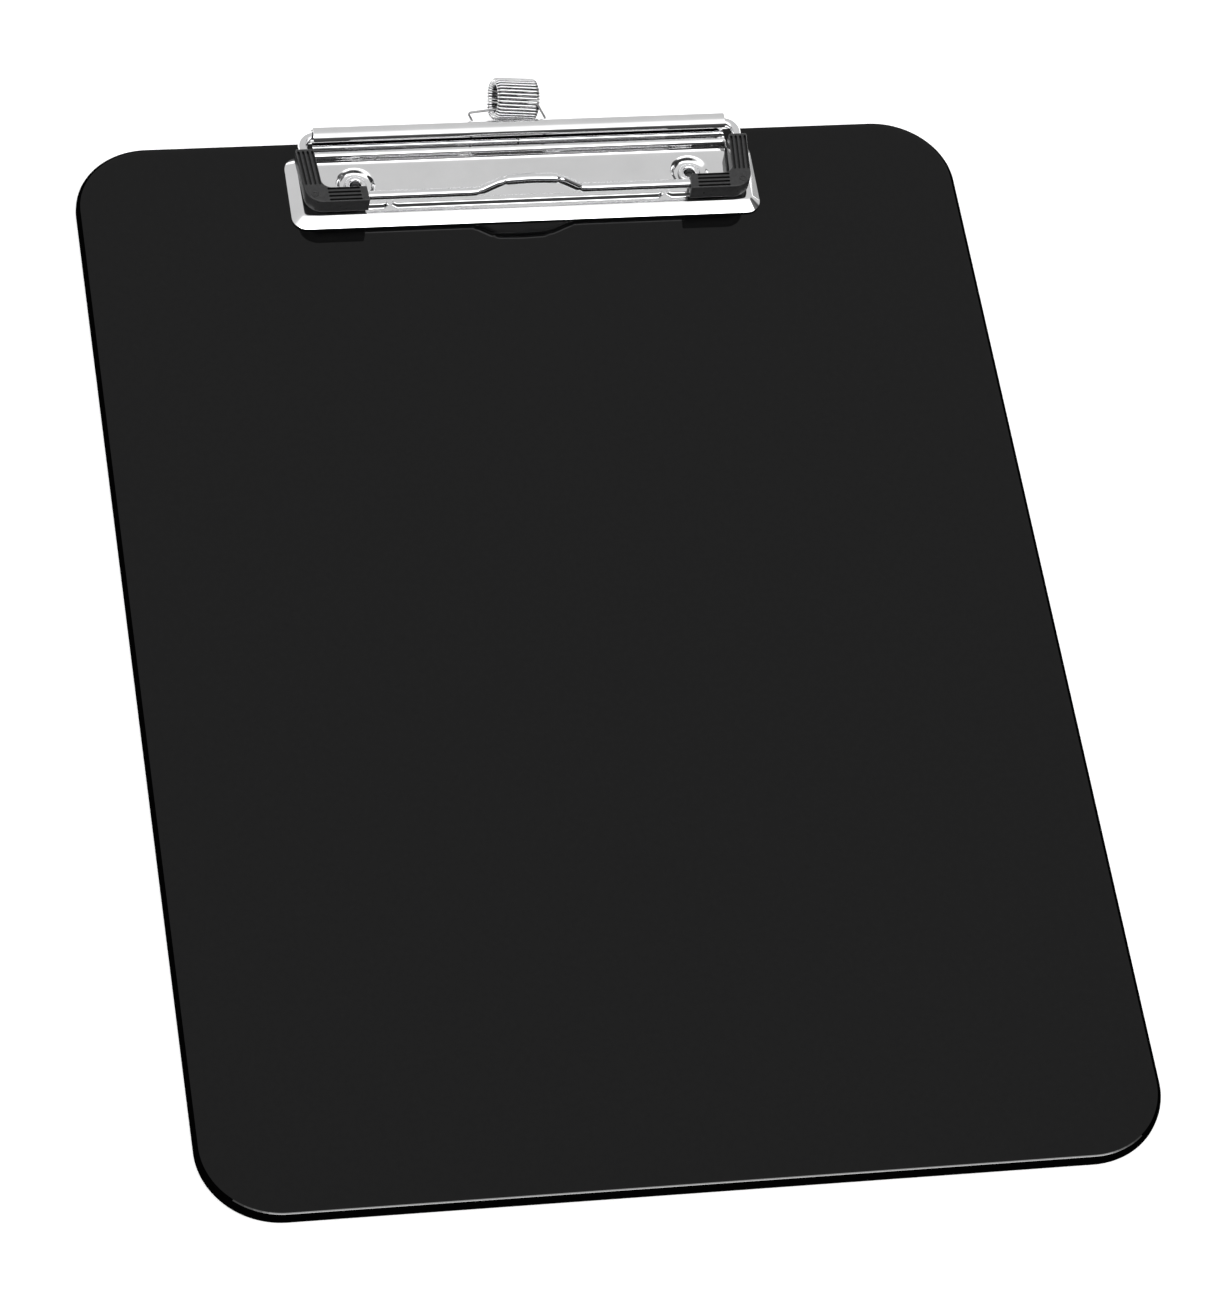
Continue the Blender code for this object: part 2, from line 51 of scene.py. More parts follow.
# Places read from the frame
HINGE = Vector(next(joint["pos_m"] for joint in frame["joints"] if joint["name"] == "bail_hinge"))
BOARD_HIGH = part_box("board")[1]
BAIL_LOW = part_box("bail_wire")[0]
PLATE_LOW, PLATE_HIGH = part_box("clip_plate")
PAD_LOW, PAD_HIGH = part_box("corner_pad_right")
RIVET_LOW, RIVET_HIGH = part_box("rivet_right")
WASHER_LOW, WASHER_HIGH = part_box("rivet_washer_right")
RING_LOW, RING_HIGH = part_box("pen_holder_spring")
CLIP_X = HINGE.x
RIVET_X = (RIVET_LOW.x + RIVET_HIGH.x) / 2 - CLIP_X
RIVET_Y = (RIVET_LOW.y + RIVET_HIGH.y) / 2

# Board
BOARD_CORNER_RADIUS = 20 * MM
BOARD_EDGE_ROUNDING = 1.4 * MM
RIVET_HOLE_RADIUS = 2.45 * MM
RECESS_RADIUS = 5.3 * MM
RECESS_DEPTH = 1.6 * MM
CUT_OVERSHOOT = MM

# Which finish a face of the board has, by its normal: polished on top, sawn at the edge, and a
# polished rim in front with a painted highlight from a raised IOR that steps down around the corners
FACE_MIN_UP = 0.97
RIM_MIN_UP = 0.86
# (raised IOR for the painted highlight, how far the normal points forward)
RIM_HIGHLIGHT_STEPS = ((3, 0.372), (2.4, 0.362), (2, 0.345), (1.75, 0.325), (1.55, 0.29))

# Clip plate, with angles in degrees
SHEET_THICKNESS = 0.6 * MM
PLATE_END_X = (PLATE_HIGH.x - PLATE_LOW.x) / 2
PLATE_REAR_Y = 152.2 * MM
PLATE_CORNER = 4 * MM
FLANGE_FOOT_Z = BOARD_HIGH.z + 0.5 * MM
PLATE_FLOOR_Z = 6.7 * MM
FLANGE_WIDTH = 2.7 * MM
FLANGE_FOLD = 0.35 * MM
PLATE_HOLE_RADIUS = 2.5 * MM
RIB_Y = 134.2 * MM
RIB_HALF_WIDTH = 1.6 * MM
RIB_HEIGHT = 1.1 * MM
RIB_FULL_SPREAD = 0.6
RIB_CREST_SHARE = 0.33
PINCH_X = 36.5 * MM
PINCH_TAPER = 1.8 * MM
RIB_END_X = 56.5 * MM
RIB_END_TAPER = 2 * MM
ROLL_END_X = 54.8 * MM
ROLL_INNER_RADIUS = 2.05 * MM
ROLL_LIP_ANGLE = 160
STEP_FOOT_Y = 147.2 * MM
STEP_BEND = 1.3 * MM
STEP_SLOPE = 78
LEDGE_FALL = 5
RIDGE_Y = 149.9 * MM
RIDGE_Z = 9.25 * MM
END_SLOPE_WIDTH = 1.4 * MM
DISH_RADIUS = 5.5 * MM
DISH_FLAT_RADIUS = 3.8 * MM
DISH_DEPTH = 1.35 * MM

# Slack for rounding errors
SLACK = 1e-9

# Spacing of the plate's mesh, and how far its fine parts reach past the pinches and the rivets
FINE = 0.2 * MM
STEP_SPACING = 0.4 * MM
ROLL_SPACING = 0.3 * MM
BORDER_SPACING = 0.25 * MM
COARSE = 1.6 * MM
PINCH_REACH = 2.4 * MM
DISH_REACH = 5.7 * MM

# Bail, whose wire looks slightly thicker than it is in the CAD
CAD_WIRE_RADIUS = 1.15 * MM
WIRE_RADIUS = 1.25 * MM
BAR_Y = BAIL_LOW.y + CAD_WIRE_RADIUS
ARM_X = 56.6 * MM
ARM_SPLAY = 1.4 * MM
LEG_BEND = 3.4 * MM
FRONT_BEND = 3.5 * MM
LEG_END_GAP = 0.5 * MM
ARCH_RISE = 4.45 * MM
ARCH_CROWN = 0.4 * MM
ARCH_FOOT_X = 13.4 * MM
ARCH_TOP_X = 7.2 * MM
ARCH_BEND = 7 * MM
ARCH_CROWN_BEND = 30 * MM

# The bar's wire varies near its own line, out to just past the arch's feet: it swells at the
# crown and is marked by the press at the four bends
BAR_REACH = MM
ARCH_FOOT_REACH = 3 * MM
CROWN_SWELL = 0.12
CROWN_SWELL_FADE = MM
PRESS_MARK_DEPTH = 0.16
PRESS_MARK_SPREAD = 0.45 * MM

# Corner pads
PAD_WIDTH = 4.8 * MM
PAD_END_X = 42.7 * MM
PAD_CORNER = 4.5 * MM
PAD_INNER_CORNER = 2.5 * MM
PAD_EDGE_ROUNDING = 0.35 * MM
GROOVES = 4
GROOVE_SPACING = 1.2 * MM
GROOVE_WIDTH = 0.62 * MM
GROOVE_DEPTH = 0.55 * MM
# The smooth stretches that the grooves leave at the corner and at the ends of the two arms
SMOOTH_CORNER_X = 5.8 * MM
SMOOTH_CORNER_Y = 5.7 * MM
SMOOTH_FRONT_END = 1.9 * MM
SMOOTH_REAR_END = 0.8 * MM
GATE_MARK_X = ARM_X + 0.1 * MM
GATE_MARK_Y = BAR_Y - 0.2 * MM
# (radius, height over the pad) of the gate mark's section, in millimetres
GATE_MARK_SECTION = ((0.55, -0.05), (0.62, 0.12), (0.74, 0.16), (0.86, 0.12), (0.93, -0.05))

# Rivets and washers
BORE_RADIUS = 1.4 * MM
BARREL_RADIUS = 2.15 * MM
HEAD_LIP_RADIUS = 0.82 * MM
HEAD_SKIRT_FLARE = 0.05 * MM
HEAD_SKIRT_DROP = 0.3 * MM
HEAD_UNDERSIDE_DROP = 0.35 * MM
FLARE_THICKNESS = 0.5 * MM
FLARE_REACH = 0.7 * MM
TAIL_MOUTH_WIDTH = 0.2 * MM
TAIL_MOUTH_RISE = 0.1 * MM
WASHER_BEVEL = 0.1 * MM

# Pen holder, with angles in degrees
COIL_TURNS = 34
COIL_POINTS_PER_TURN = 28
COIL_WIRE_RADIUS = 0.315 * MM
COIL_OUTER_RADIUS = 5.6 * MM
COIL_INNER_RADIUS = 3.7 * MM
COIL_LENGTH = 12 * MM
COIL_X = -0.3 * MM
COIL_Y = RING_HIGH.y - COIL_OUTER_RADIUS
COIL_Z = 12 * MM
COIL_START = -140
COIL_ROLL = 9
COIL_YAW = 3
# The first part of each turn is its outer run, which moves on only a little round the ring
OUTER_RUN = 0.42
OUTER_ADVANCE = 0.2
LEG_WIRE_RADIUS = 0.3 * MM
LEG_ROOT_INSET = 0.5 * MM
LEG_ROOT_Y = 158.8 * MM
LEFT_ROOT_Z = 13.6 * MM
RIGHT_ROOT_Z = 15 * MM
KNEE_Y = 158.3 * MM
KNEE_Z = 13.1 * MM
KNEE_BEND = 0.5 * MM
ELBOW_Y = 157.4 * MM
ELBOW_BEND = 0.8 * MM
LEG_TIP_Y = 155.3 * MM
LEFT_KNEE_X = RING_LOW.x - 0.7 * MM - CLIP_X
LEFT_ELBOW_X = LEFT_KNEE_X + 1.2 * MM
RIGHT_ELBOW_X = RING_HIGH.x - 0.9 * MM - CLIP_X

# Finishes: (dark, light) colours, then how noise is scaled along each axis
BOARD_TINTS = ((0.0016, 0.0016, 0.0017), (0.0026, 0.0026, 0.0027))
EDGE_TINTS = ((0.0004, 0.0004, 0.0004), (0.0009, 0.0009, 0.001))
PAD_TINTS = ((0.026, 0.026, 0.0265), (0.042, 0.042, 0.043))
PLATE_TINTS = ((0.86, 0.86, 0.865), (0.92, 0.92, 0.925))
BAIL_TINTS = ((0.82, 0.82, 0.83), (0.9, 0.9, 0.91))
SHADED_METAL_TINTS = ((0.84, 0.84, 0.85), (0.93, 0.93, 0.94))
WASHER_TINTS = ((0.62, 0.62, 0.63), (0.74, 0.74, 0.75))
LEG_TINTS = ((0.3, 0.3, 0.305), (0.42, 0.42, 0.425))
FLOOR_TINTS = ((0.93, 0.93, 0.93), (0.95, 0.95, 0.95))
EVEN = (1, 1, 1)
SAWN = (1, 1, 8)
ROLLED = (0.06, 1, 1)
# Noise scale and detail of the board's polish
POLISH_GRAIN = (700, 4)
# Most noise lies between these two values
NOISE_LOW = 0.3
NOISE_HIGH = 0.7
# The share of its colour that a closed-in surface keeps under the painted shade
PAINTED_SHADE_SHARE = 0.004

# Studio light: (pitch in degrees, radiance) of the sky
SKY_WHITE = 1.3
SKY_STOPS = (
    (0, 0.05),
    (32, 0.07),
    (41, 1.15),
    (48, 1.3),
    (74, 1.3),
    (98, 0.68),
    (130, 0.63),
    (180, 0.62),
)
# The bright strip: pitches in degrees, and sizes across in the sideways part of the direction
KEY_PITCH = 55
KEY_HALF_HEIGHT = 6
KEY_PITCH_SOFTNESS = 2
KEY_ACROSS = 0
KEY_HALF_WIDTH = 0.75
KEY_ACROSS_SOFTNESS = 0.15
KEY_RADIANCE = 3
# The shaded right side: (centre, half width, softness) in the direction's x and in its y
SIDE_ACROSS = (1, 0.16, 0.18)
SIDE_ALONG = (-1, 1.12, 0.22)
SIDE_SHADE = 0.88
FLOOR_RADIUS = 4
FLOOR_DROP = 0.2 * MM
FLOOR_GLOW = 0.45
GLOW_UNDERLAP = 2 * MM

# Camera, with angles in degrees
CAMERA_AZIMUTH = -19.49
CAMERA_ELEVATION = 55.31
CAMERA_ROLL = 13.15
CAMERA_DISTANCE = 1447 * MM
CAMERA_AIM = Vector((3.24 * MM, -6.16 * MM, BOARD_HIGH.z))
SENSOR_HEIGHT = 36
FOCAL_LENGTH = 161.02
CAMERA_REACH = 50


def smoothstep(low, high, value):
    """0 up to low, 1 from high, and an S-shaped rise between them."""
    t = min(max((value - low) / (high - low), 0), 1)
    return t * t * (3 - 2 * t)


def smooth_min(a, b, blend):
    """The smaller of two values, rounded off where they are nearly equal."""
    h = min(max(0.5 + 0.5 * (b - a) / blend, 0), 1)
    return b + (a - b) * h - blend * h * (1 - h)


# ---------------------------------------------------------------- mesh helpers


def add_object(name, mesh, material, x=CLIP_X):
    """Link a mesh as a smooth object whose own zero is at x, on the clip's centre line as a rule."""
    mesh.shade_smooth()
    made = bpy.data.objects.new(name, mesh)
    made.location.x = x
    mesh.materials.append(material)
    bpy.context.scene.collection.objects.link(made)
    return made


def mesh_from(bm, name):
    """Turn a bmesh into a mesh whose faces point outwards."""
    bmesh.ops.recalc_face_normals(bm, faces=bm.faces)
    mesh = bpy.data.meshes.new(name)
    bm.to_mesh(mesh)
    bm.free()
    return mesh


def apply_modifiers(made):
    """Replace an object's mesh by what its modifiers make of it."""
    bpy.context.view_layer.update()
    evaluated = made.evaluated_get(bpy.context.evaluated_depsgraph_get())
    mesh = bpy.data.meshes.new_from_object(evaluated)
    made.modifiers.clear()
    made.data = mesh


def subtract(made, tool_bm):
    """Cut a bmesh out of an object and apply the result."""
    finish = bpy.data.materials.new("cutter")
    tool = add_object("cutter", mesh_from(tool_bm, "cutter"), finish, made.location.x)
    cut = made.modifiers.new("cut", "BOOLEAN")
    cut.object = tool
    cut.operation = "DIFFERENCE"
    cut.solver = "EXACT"
    apply_modifiers(made)
    bpy.data.materials.remove(finish)
    bpy.data.objects.remove(tool)


def rounded_outline(half_x, low_y, high_y, radius, steps):
    """A rectangle with rounded corners, anticlockwise from its front right corner."""
    corners = (
        (half_x - radius, low_y + radius, -90),
        (half_x - radius, high_y - radius, 0),
        (-half_x + radius, high_y - radius, 90),
        (-half_x + radius, low_y + radius, 180),
    )
    outline = []
    for x, y, start in corners:
        for step in range(steps + 1):
            angle = math.radians(start + 90 * step / steps)
            outline.append((x + radius * math.cos(angle), y + radius * math.sin(angle)))
    return outline


def skin_rings(bm, rings, close=True):
    """Faces between consecutive closed rings of points, and over the first and last if closed."""
    made = [[bm.verts.new(point) for point in ring] for ring in rings]
    for first, second in zip(made, made[1:]):
        for i in range(len(first)):
            j = (i + 1) % len(first)
            bm.faces.new((first[i], first[j], second[j], second[i]))
    if close:
        bm.faces.new(made[0])
        bm.faces.new(made[-1])


def cylinder(radius, x, y, low, high, segments=48):
    """An upright cylinder, as a bmesh."""
    bm = bmesh.new()
    bmesh.ops.create_cone(
        bm,
        cap_ends=True,
        segments=segments,
        radius1=radius,
        radius2=radius,
        depth=high - low,
        matrix=Matrix.Translation((x, y, (low + high) / 2)),
    )
    return bm


def turned(profile, x, y, segments=72):
    """Turn a closed (radius, z) profile about an upright axis."""
    bm = bmesh.new()
    rings = []
    for step in range(segments):
        angle = math.tau * step / segments
        rings.append([(x + r * math.cos(angle), y + r * math.sin(angle), z) for r, z in profile])
    skin_rings(bm, rings + [rings[0]], close=False)
    bmesh.ops.remove_doubles(bm, verts=bm.verts, dist=1e-7)
    return bm


def arc(centre_u, centre_v, radius, start, end, steps):
    """Points of an arc, with angles in degrees."""
    points = []
    for step in range(steps + 1):
        angle = math.radians(start + (end - start) * step / steps)
        points.append((centre_u + radius * math.cos(angle), centre_v + radius * math.sin(angle)))
    return points


def bent_path(corners, steps):
    """Points along straight runs joined by arcs. Each corner is (point, bend radius)."""
    points = [Vector(corners[0][0])]
    for i in range(1, len(corners) - 1):
        corner = Vector(corners[i][0])
        back = (Vector(corners[i - 1][0]) - corner).normalized()
        ahead = (Vector(corners[i + 1][0]) - corner).normalized()
        half_angle = back.angle(ahead) / 2
        radius = corners[i][1]
        centre = corner + (back + ahead).normalized() * radius / math.sin(half_angle)
        first = (corner + back * radius / math.tan(half_angle) - centre).normalized()
        last = (corner + ahead * radius / math.tan(half_angle) - centre).normalized()
        for step in range(steps + 1):
            points.append(centre + first.slerp(last, step / steps) * radius)
    points.append(Vector(corners[-1][0]))
    return points


def wire_object(name, paths, radius, material, resolution):
    """A round wire along each path, as one curve object."""
    curve = bpy.data.curves.new(name, "CURVE")
    curve.dimensions = "3D"
    curve.bevel_depth = radius
    curve.bevel_resolution = resolution
    curve.use_fill_caps = True
    for path in paths:
        spline = curve.splines.new("POLY")
        spline.points.add(len(path) - 1)
        for point, place in zip(spline.points, path):
            point.co = (*place, 1)
    made = bpy.data.objects.new(name, curve)
    made.location.x = CLIP_X
    curve.materials.append(material)
    bpy.context.scene.collection.objects.link(made)
    return made


# ------------------------------------------------------------------- materials


def new_material(name):
    """A material with its node tree and its shader."""
    material = bpy.data.materials.new(name)
    material.use_nodes = True
    tree = material.node_tree
    return material, tree, tree.nodes["Principled BSDF"]


def node(tree, kind, **values):
    """A node with values given to its sockets or, where it has none of that name, to itself."""
    made = tree.nodes.new(kind)
    for name, value in values.items():
        if name in made.inputs:
            made.inputs[name].default_value = value
        else:
            setattr(made, name, value)
    return made


def noise(tree, scale, detail=3, stretch=EVEN):
    """Noise in object coordinates, stretched along some axes."""
    coordinates = tree.nodes.new("ShaderNodeTexCoord")
    mapping = tree.nodes.new("ShaderNodeMapping")
    mapping.inputs["Scale"].default_value = stretch
    texture = node(tree, "ShaderNodeTexNoise", Scale=scale, Detail=detail)
    tree.links.new(coordinates.outputs["Object"], mapping.inputs["Vector"])
    tree.links.new(mapping.outputs["Vector"], texture.inputs["Vector"])
    return texture.outputs["Fac"]


def remap(tree, source, low, high, source_low=NOISE_LOW, source_high=NOISE_HIGH):
    """Map what lies between the source's own low and high to between low and high."""
    made = tree.nodes.new("ShaderNodeMapRange")
    made.inputs["From Min"].default_value = source_low
    made.inputs["From Max"].default_value = source_high
    made.inputs["To Min"].default_value = low
    made.inputs["To Max"].default_value = high
    tree.links.new(source, made.inputs["Value"])
    return made.outputs["Result"]


def tint(tree, source, tints):
    """Mix a dark and a light colour by the source."""
    ramp = tree.nodes.new("ShaderNodeValToRGB")
    for stop, place, colour in zip(ramp.color_ramp.elements, (NOISE_LOW, NOISE_HIGH), tints):
        stop.position = place
        stop.color = (*colour, 1)
    tree.links.new(source, ramp.inputs["Fac"])
    return ramp.outputs["Color"]


def math_node(tree, operation, first, second=0):
    """A math node between two values, each a number or a socket."""
    made = node(tree, "ShaderNodeMath", operation=operation)
    for socket, value in zip(made.inputs, (first, second)):
        if isinstance(value, (int, float)):
            socket.default_value = value
        else:
            tree.links.new(value, socket)
    return made.outputs[0]


def add_bumps(tree, shader, source, strength, depth):
    """Let the source raise and lower the surface."""
    made = node(tree, "ShaderNodeBump", Strength=strength, Distance=depth)
    tree.links.new(source, made.inputs["Height"])
    tree.links.new(made.outputs["Normal"], shader.inputs["Normal"])


def clouded(name, tints, tint_grain, rough, rough_grain):
    """A material whose colour and roughness vary.

    Each grain is what noise() takes after the tree: scale, detail and stretch, or the first of them.
    """
    material, tree, shader = new_material(name)
    tree.links.new(tint(tree, noise(tree, *tint_grain), tints), shader.inputs["Base Color"])
    tree.links.new(remap(tree, noise(tree, *rough_grain), *rough), shader.inputs["Roughness"])
    return material, tree, shader


def metal(name, tints, rough, stretch=EVEN):
    """Bright plated metal: faint clouding, rolling marks along the grain and a slight ripple."""
    material, tree, shader = clouded(name, tints, (90,), rough, (260, 5, stretch))
    shader.inputs["Metallic"].default_value = 1
    add_bumps(tree, shader, noise(tree, 240, 2, stretch), strength=0.06, depth=0.02 * MM)
    return material


def paint_shade_in_hollows(tree, shader, reach, closed, open_enough):
    """Paint shade into the base colour where surfaces within reach close in on the point.

    It is darkest where the share of open air is down to closed, and left as it is from open_enough.
    """
    open_air = node(tree, "ShaderNodeAmbientOcclusion", samples=8, Distance=reach)
    base = shader.inputs["Base Color"].links[0].from_socket
    # Painted shade: the colour is multiplied down by how closed in the point is
    painted_shade = node(tree, "ShaderNodeMix", data_type="RGBA", blend_type="MULTIPLY", Factor=1)
    colour_a, colour_b = [socket for socket in painted_shade.inputs if socket.type == "RGBA"]
    mixed = next(socket for socket in painted_shade.outputs if socket.type == "RGBA")
    openness = remap(tree, open_air.outputs["AO"], PAINTED_SHADE_SHARE, 1, closed, open_enough)
    tree.links.new(base, colour_a)
    tree.links.new(openness, colour_b)
    tree.links.new(mixed, shader.inputs["Base Color"])


def metal_with_painted_shade(name, reach, closed, open_enough):
    """Bright metal with painted shade in its hollows."""
    material = metal(name, SHADED_METAL_TINTS, rough=(0.06, 0.14))
    tree = material.node_tree
    paint_shade_in_hollows(tree, tree.nodes["Principled BSDF"], reach, closed, open_enough)
    return material


def board_finishes():
    """The polished face, the sawn edge, and the rim's copies with a painted highlight, in the order of
    the rim steps.
    """
    face, tree, shader = clouded(
        "polished_black_board", BOARD_TINTS, POLISH_GRAIN, rough=(0.03, 0.055), rough_grain=(45, 5)
    )
    shader.inputs["Specular IOR Level"].default_value = 0.235
    add_bumps(tree, shader, noise(tree, 900, 2), strength=0.03, depth=0.01 * MM)

    edge, tree, shader = clouded(
        "sawn_black_edge", EDGE_TINTS, (500, 4, SAWN), rough=(0.75, 0.95), rough_grain=(800, 4)
    )
    shader.inputs["Specular IOR Level"].default_value = 0
    add_bumps(tree, shader, noise(tree, 1500, 3, SAWN), strength=0.15, depth=0.02 * MM)

    rims = []
    for number, (refraction, _) in enumerate(RIM_HIGHLIGHT_STEPS):
        name = f"black_rim_painted_highlight_{number}"
        # Copies of the polish whose raised IOR paints the rim's highlight
        rim, _, shader = clouded(name, BOARD_TINTS, POLISH_GRAIN, rough=(0.05, 0.1), rough_grain=(60, 5))
        shader.inputs["IOR"].default_value = refraction
        rims.append(rim)
    return [face, edge, *rims]


def pad_finish():
    """Satin plastic with painted shade in its grooves."""
    pad, tree, shader = clouded(
        "satin_black_pad", PAD_TINTS, (1500, 4), rough=(0.26, 0.4), rough_grain=(900, 4)
    )
    shader.inputs["Specular IOR Level"].default_value = 0.38
    add_bumps(tree, shader, noise(tree, 5000, 3), strength=0.25, depth=0.03 * MM)
    # Painted shade in the grooves
    paint_shade_in_hollows(tree, shader, reach=0.9 * MM, closed=0.45, open_enough=0.85)
    return pad


def make_materials():
    """The finish of each kind of piece, and the board's list of them."""
    return {
        "board": board_finishes(),
        "pad": pad_finish(),
        "plate": metal("bright_nickel_plate", PLATE_TINTS, rough=(0.02, 0.07), stretch=ROLLED),
        "bail": metal("bright_bail_wire", BAIL_TINTS, rough=(0.02, 0.09)),
        # Painted shade darkens the rivets' bores
        "rivet": metal_with_painted_shade("bright_rivet", reach=2.4 * MM, closed=0.3, open_enough=0.7),
        "washer": metal("plain_washer", WASHER_TINTS, rough=(0.18, 0.34)),
        # Painted shade darkens the gaps between the coil's turns
        "spring": metal_with_painted_shade("spring_steel", reach=MM, closed=0.52, open_enough=0.86),
        "leg": metal("spring_leg", LEG_TINTS, rough=(0.08, 0.18)),
    }


# ----------------------------------------------------------------------- board


def finish_number(normal):
    """Which of board_finishes() a face of the board has; rim faces that point forward get the painted
    highlight.
    """
    face, edge, first_rim = range(3)
    _, back, up = normal
    if up > FACE_MIN_UP:
        return face
    if up > RIM_MIN_UP:
        for step, (_, forward) in enumerate(RIM_HIGHLIGHT_STEPS):
            if back < -forward:
                return first_rim + step
    return edge


def make_board(finishes):
    """A sheet with rounded edges, its rivet holes and the washer recesses in its back."""
    half_x = BOARD_HIGH.x
    half_y = BOARD_HIGH.y
    top = BOARD_HIGH.z
    rounding = BOARD_EDGE_ROUNDING
    profile = [(rounding * 2, 0)]
    profile += [(rounding - u, rounding + v) for u, v in arc(0, 0, rounding, -90, 0, steps=6)]
    profile += [(rounding - u, top - rounding + v) for u, v in arc(0, 0, rounding, 0, 90, steps=6)]
    profile += [(rounding * 2, top)]
    rings = []
    for inset, height in profile:
        radius = BOARD_CORNER_RADIUS - inset
        outline = rounded_outline(half_x - inset, -half_y + inset, half_y - inset, radius, steps=40)
        rings.append([(x, y, height) for x, y in outline])
    bm = bmesh.new()
    skin_rings(bm, rings)
    board = add_object("board_sheet", mesh_from(bm, "board_sheet"), finishes[0], 0)
    for side in (-1, 1):
        x = CLIP_X + side * RIVET_X
        subtract(board, cylinder(RIVET_HOLE_RADIUS, x, RIVET_Y, -CUT_OVERSHOOT, top + CUT_OVERSHOOT))
        subtract(board, cylinder(RECESS_RADIUS, x, RIVET_Y, -CUT_OVERSHOOT, RECESS_DEPTH, segments=64))
    board.data.set_sharp_from_angle(angle=math.radians(50))
    for finish in finishes[1:]:
        board.data.materials.append(finish)
    for face in board.data.polygons:
        face.material_index = finish_number(face.normal)
    return board


# ------------------------------------------------------------------ clip plate


def spaced(start, end, step):
    """Even positions from start up to but not including end, at most step apart."""
    count = max(1, math.ceil((end - start) / step - SLACK))
    return [start + (end - start) * i / count for i in range(count)]


def mesh_lines(stops):
    """Positions from (stop, spacing up to the next stop) pairs."""
    lines = []
    for (start, step), (end, _) in zip(stops, stops[1:]):
        lines += spaced(start, end, step)
    return lines + [stops[-1][0]]


def flange_height(inset):
    """Height of the sheet by how far in from the plate's outline: the sloping flange, then flat."""
    slope = (PLATE_FLOOR_Z - FLANGE_FOOT_Z) / FLANGE_WIDTH
    return smooth_min(FLANGE_FOOT_Z + slope * inset, PLATE_FLOOR_Z, FLANGE_FOLD)


def rib_rise(x, y):
    """Rise of the ribs along the front, which taper to nothing at the pinches and the ends."""
    along = abs(x)
    to_pinch = abs(along - PINCH_X)
    to_end = max(RIB_END_X - along, 0)
    spread = min(to_pinch / PINCH_TAPER, to_end / RIB_END_TAPER, 1)
    if spread <= 0:
        return 0
    height = RIB_HEIGHT * smoothstep(0, RIB_FULL_SPREAD, spread)
    away = abs(y - RIB_Y) / (RIB_HALF_WIDTH * spread)
    return height * (1 - smoothstep(RIB_CREST_SHARE, 1, away))


def dish_drop(x, y):
    """Drop of the round dishes that the rivets sit in."""
    away = math.hypot(abs(x) - RIVET_X, y - RIVET_Y)
    return DISH_DEPTH * (1 - smoothstep(DISH_FLAT_RADIUS, DISH_RADIUS, away))


def end_slope(x, y):
    """Rise of the drawn ends of the ledge, outside the cut ends of the roll."""
    rise = smoothstep(STEP_FOOT_Y, RIDGE_Y, y)
    fade = 1 - smoothstep(ROLL_END_X, ROLL_END_X + END_SLOPE_WIDTH, abs(x))
    return (RIDGE_Z - PLATE_FLOOR_Z) * rise * fade


def plate_point(x, y, inset):
    """A point on top of the sheet, this far in from the plate's outline."""
    return (x, y, flange_height(inset) + rib_rise(x, y) - dish_drop(x, y) + end_slope(x, y))


def follow_bend(path, radius, turn, steps):
    """Carry a path of (y, z, heading) on through a bend. A positive turn is to the left."""
    y, z, start = path[-1]
    side = math.copysign(1, turn)
    centre_y = y - side * radius * math.sin(math.radians(start))
    centre_z = z + side * radius * math.cos(math.radians(start))
    for step in range(1, steps + 1):
        heading = start + turn * step / steps
        y = centre_y + side * radius * math.sin(math.radians(heading))
        z = centre_z - side * radius * math.cos(math.radians(heading))
        path.append((y, z, heading))


def follow_line(path, length, steps):
    """Carry a path of (y, z, heading) straight on."""
    y, z, heading = path[-1]
    ahead = math.radians(heading)
    for step in range(1, steps + 1):
        run = length * step / steps
        path.append((y + run * math.cos(ahead), z + run * math.sin(ahead), heading))


def roll_section():
    """The top of the sheet from the floor up over the step, along the ledge and round the roll."""
    fall = math.radians(LEDGE_FALL)
    path = [(STEP_FOOT_Y, PLATE_FLOOR_Z, 0)]
    follow_bend(path, STEP_BEND, STEP_SLOPE, steps=14)
    # A trial without the step's straight part shows how long that has to be for the ledge to
    # run straight into the roll
    trial = list(path)
    follow_bend(trial, STEP_BEND, -STEP_SLOPE - LEDGE_FALL, steps=1)
    roll_y = HINGE.y - ROLL_INNER_RADIUS * math.sin(fall)
    roll_z = HINGE.z - ROLL_INNER_RADIUS * math.cos(fall)
    to_rise = (roll_y - trial[-1][0]) * math.sin(fall) + (roll_z - trial[-1][1]) * math.cos(fall)
    follow_line(path, to_rise / math.sin(math.radians(STEP_SLOPE + LEDGE_FALL)), steps=2)
    follow_bend(path, STEP_BEND, -STEP_SLOPE - LEDGE_FALL, steps=16)
    follow_line(path, math.hypot(roll_y - path[-1][0], roll_z - path[-1][1]), steps=6)
    follow_bend(path, ROLL_INNER_RADIUS, ROLL_LIP_ANGLE + 90 + LEDGE_FALL, steps=54)
    return [(y, z) for y, z, _ in path]


def plate_lines():
    """Where the mesh lines run across and along the plate inside its border: xs and ys."""
    half_stops = (
        (0, COARSE),
        (PINCH_X - PINCH_REACH, FINE),
        (RIVET_X + DISH_REACH, COARSE),
        (ROLL_END_X, ROLL_SPACING),
        (PLATE_END_X - PLATE_CORNER, 0),
    )
    y_stops = (
        (PLATE_LOW.y + PLATE_CORNER, FINE),
        (RIVET_Y + DISH_REACH, STEP_SPACING),
        (STEP_FOOT_Y, FINE),
        (PLATE_REAR_Y - PLATE_CORNER, 0),
    )
    half_xs = mesh_lines(half_stops)
    xs = [-x for x in reversed(half_xs[1:])] + half_xs
    return xs, mesh_lines(y_stops)


def skin_grid(bm, grid):
    """Faces between consecutive open rows of vertices."""
    for first, second in zip(grid, grid[1:]):
        for j in range(len(first) - 1):
            bm.faces.new((first[j], second[j], second[j + 1], first[j + 1]))


